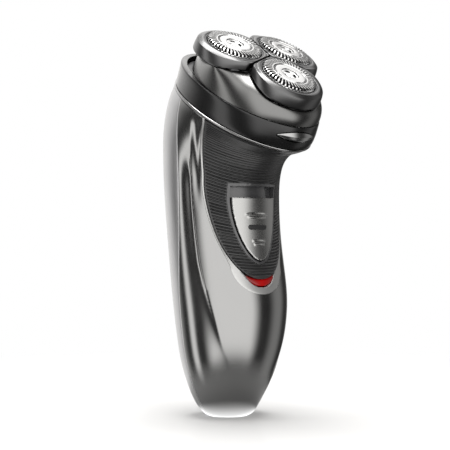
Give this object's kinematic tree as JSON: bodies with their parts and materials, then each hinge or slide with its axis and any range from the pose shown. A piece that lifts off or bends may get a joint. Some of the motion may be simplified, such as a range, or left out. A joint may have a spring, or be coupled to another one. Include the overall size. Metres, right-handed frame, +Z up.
{
  "type": "rotary electric shaver",
  "caption": "Cordless rotary shaver: curved handle with a ribbed grip, sliding power switch and hinged head carrying floating petals, slotted guards and geared cutters.",
  "frame": {"origin": "middle of the flat base that the handle stands on", "axes": "+Z up the handle; the switch and the shaving heads face -Y; X runs across"},
  "size_m": [0.0556, 0.0768, 0.1546],
  "materials": {
    "front_shell": "metallised gunmetal lacquer, glossy",
    "rear_shell": "lighter metallic lacquer, satin",
    "grip_rubber": "ribbed soft-touch rubber",
    "collar": "charcoal gloss",
    "trim": "bright trim",
    "guide": "black gloss",
    "lens": "clear red, lit from behind",
    "switch": "metallised silver",
    "head_base": "dark metallised chrome",
    "inner_plastic": "black moulded",
    "lock_knob": "dark grey moulded",
    "chassis_plastic": "natural moulded",
    "board": "green laminate",
    "steel": "bright steel",
    "motor_steel": "plated can",
    "lamp": "clear epoxy",
    "cell": "shrink-wrapped cell",
    "brass": "turned",
    "petal": "dark grey satin metallised",
    "guard_steel": "bright ground steel",
    "blade_steel": "ground steel",
    "gear_plastic": "acetal"
  },
  "bodies": {
    "handle": {"front_shell": "front_shell", "rear_shell": "rear_shell", "grip_panel": "grip_rubber", "neck_collar": "collar", "collar_trim": "trim", "switch_guide": "guide", "light_lens": "lens", "charging_socket": "inner_plastic", "left_contact_pin": "brass", "right_contact_pin": "brass", "chassis": "chassis_plastic", "circuit_board": "board", "slide_switch": "steel", "status_lamp": "lamp", "left_cell": "cell", "right_cell": "cell", "left_strap": "steel", "right_strap": "steel", "cell_bridge": "steel", "cell_cradle": "inner_plastic", "motor_can": "motor_steel", "motor_cap": "inner_plastic", "motor_plate": "chassis_plastic", "plate_screw_1": "steel", "plate_screw_2": "steel", "plate_screw_3": "steel", "drive_deck": "inner_plastic", "hinge_pin": "steel", "button_spring": "steel"},
    "power_slider": {"switch_slider": "switch", "switch_insert": "guide"},
    "release": {"release_button": "switch"},
    "rotor": {"motor_shaft": "steel", "pinion_gear": "brass"},
    "head": {"head_base": "head_base", "cutter_deck": "inner_plastic", "retaining_frame": "inner_plastic"},
    "lock": {"frame_lock": "lock_knob"},
    "front_holder": {"front_petal": "petal"},
    "front_blade_guard": {"front_guard": "guard_steel", "front_guard_cap": "guard_steel"},
    "front_rotor_blade": {"front_cutter": "blade_steel"},
    "front_drive": {"front_gear": "gear_plastic", "front_spindle": "steel"},
    "left_holder": {"left_petal": "petal"},
    "left_blade_guard": {"left_guard": "guard_steel", "left_guard_cap": "guard_steel"},
    "left_rotor_blade": {"left_cutter": "blade_steel"},
    "left_drive": {"left_gear": "gear_plastic", "left_spindle": "steel"},
    "right_holder": {"right_petal": "petal"},
    "right_blade_guard": {"right_guard": "guard_steel", "right_guard_cap": "guard_steel"},
    "right_rotor_blade": {"right_cutter": "blade_steel"},
    "right_drive": {"right_gear": "gear_plastic", "right_spindle": "steel"}
  },
  "joints": [
    {"name": "power_switch", "type": "slide", "parent": "handle", "child": "power_slider", "axis": [0, 0.0797, 0.9968], "range_m": [0, 0.004]},
    {"name": "release_press", "type": "slide", "parent": "handle", "child": "release", "axis": [0, 1, 0], "range_m": [0, 0.0012], "stiffness_N_per_m": 900, "springref_m": -0.0004, "deforming": ["button_spring"]},
    {"name": "head_hinge", "type": "hinge", "parent": "handle", "child": "head", "pos_m": [0, 0.012, 0.1476], "axis": [-1, 0, 0], "range_deg": [0, 90]},
    {"name": "lock_turn", "type": "hinge", "parent": "head", "child": "lock", "pos_m": [0, -0.0279, 0.1439], "axis": [0, -0.5821, 0.8131], "range_deg": [0, 90]},
    {"name": "motor_spin", "type": "hinge", "parent": "handle", "child": "rotor", "pos_m": [0, -0.0279, 0.1439], "axis": [0, -0.5821, 0.8131], "continuous": true},
    {"name": "front_tilt", "type": "hinge", "parent": "head", "child": "front_holder", "pos_m": [0, -0.03229, 0.13068], "axis": [1, 0, 0], "range_deg": [-2, 2], "stiffness_Nm_per_rad": 0.6},
    {"name": "front_float", "type": "slide", "parent": "front_holder", "child": "front_blade_guard", "axis": [0, 0.6334, -0.7738], "range_m": [0, 0.001], "stiffness_N_per_m": 600, "springref_m": -0.0006},
    {"name": "front_cutter_spin", "type": "hinge", "parent": "front_blade_guard", "child": "front_rotor_blade", "pos_m": [0, -0.03993, 0.13528], "axis": [0, -0.6334, 0.7738], "continuous": true},
    {"name": "front_spindle_spin", "type": "hinge", "parent": "handle", "child": "front_drive", "pos_m": [0, -0.03928, 0.13575], "axis": [0, -0.5821, 0.8131], "continuous": true},
    {"name": "left_tilt", "type": "hinge", "parent": "head", "child": "left_holder", "pos_m": [-0.00976, -0.01855, 0.14052], "axis": [-0.5, -0.7042, -0.5041], "range_deg": [-2, 2], "stiffness_Nm_per_rad": 0.6},
    {"name": "left_float", "type": "slide", "parent": "left_holder", "child": "left_blade_guard", "axis": [0.0559, 0.5547, -0.8302], "range_m": [0, 0.001], "stiffness_N_per_m": 600, "springref_m": -0.0006},
    {"name": "left_cutter_spin", "type": "hinge", "parent": "left_blade_guard", "child": "left_rotor_blade", "pos_m": [-0.01282, -0.02188, 0.14821], "axis": [-0.0559, -0.5547, 0.8302], "continuous": true},
    {"name": "left_spindle_spin", "type": "hinge", "parent": "handle", "child": "left_drive", "pos_m": [-0.01212, -0.02221, 0.14797], "axis": [0, -0.5821, 0.8131], "continuous": true},
    {"name": "right_tilt", "type": "hinge", "parent": "head", "child": "right_holder", "pos_m": [0.00976, -0.01855, 0.14052], "axis": [-0.5, 0.7042, 0.5041], "range_deg": [-2, 2], "stiffness_Nm_per_rad": 0.6},
    {"name": "right_float", "type": "slide", "parent": "right_holder", "child": "right_blade_guard", "axis": [-0.0559, 0.5547, -0.8302], "range_m": [0, 0.001], "stiffness_N_per_m": 600, "springref_m": -0.0006},
    {"name": "right_cutter_spin", "type": "hinge", "parent": "right_blade_guard", "child": "right_rotor_blade", "pos_m": [0.01282, -0.02188, 0.14821], "axis": [0.0559, -0.5547, 0.8302], "continuous": true},
    {"name": "right_spindle_spin", "type": "hinge", "parent": "handle", "child": "right_drive", "pos_m": [0.01212, -0.02221, 0.14797], "axis": [0, -0.5821, 0.8131], "continuous": true}
  ],
  "couplings": [
    {"joint": "front_spindle_spin", "follows": "motor_spin", "ratio": -0.75},
    {"joint": "front_cutter_spin", "follows": "motor_spin", "ratio": -0.75},
    {"joint": "left_spindle_spin", "follows": "motor_spin", "ratio": -0.75},
    {"joint": "left_cutter_spin", "follows": "motor_spin", "ratio": -0.75},
    {"joint": "right_spindle_spin", "follows": "motor_spin", "ratio": -0.75},
    {"joint": "right_cutter_spin", "follows": "motor_spin", "ratio": -0.75}
  ]
}
